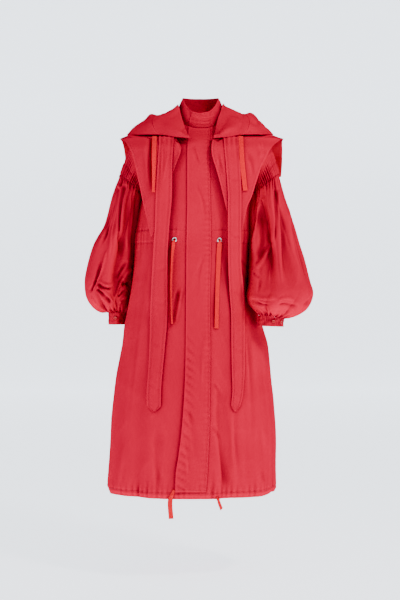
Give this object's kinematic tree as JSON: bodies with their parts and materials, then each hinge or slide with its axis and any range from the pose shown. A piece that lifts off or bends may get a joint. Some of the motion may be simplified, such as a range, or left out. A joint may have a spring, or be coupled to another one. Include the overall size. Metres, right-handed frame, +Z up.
{
  "type": "mod coat",
  "caption": "Long A-line hooded cape coat in worn form: stand collar, hidden fly, hanging tie straps, drawcord waist and hem, balloon sleeves gathered onto snap cuffs.",
  "frame": {"origin": "middle of the neckline, where the wearer's neck and shoulders hold the coat up", "axes": "+Z up along the coat's length, the front faces -Y, +X towards the wearer's left"},
  "size_m": [0.7258, 0.4484, 1.3198],
  "materials": {
    "cloth": "crisp plain-woven weather cloth, soft sheen",
    "tape": "flat woven tape",
    "eyelet": "silver, polished",
    "snap": "red enamel"
  },
  "bodies": {
    "root": {"back": "cloth", "cape_back": "cloth", "cape_front_left": "cloth", "cape_front_right": "cloth", "collar": "cloth", "cuff_left": "cloth", "cuff_right": "cloth", "cuff_snap_left_1": "snap", "cuff_snap_left_2": "snap", "cuff_snap_right_1": "snap", "eyelet_left": "eyelet", "eyelet_right": "eyelet", "fly": "cloth", "front_left": "cloth", "front_right": "cloth", "hem_tape_left": "tape", "hem_tape_right": "tape", "hood_left": "cloth", "hood_middle": "cloth", "hood_right": "cloth", "hood_tape_left": "tape", "hood_tape_right": "tape", "sleeve_left": "cloth", "sleeve_right": "cloth", "sleeve_top_left": "cloth", "sleeve_top_right": "cloth", "strap_left": "cloth", "strap_right": "cloth", "waist_tape_left": "tape", "waist_tape_right": "tape"}
  },
  "joints": []
}
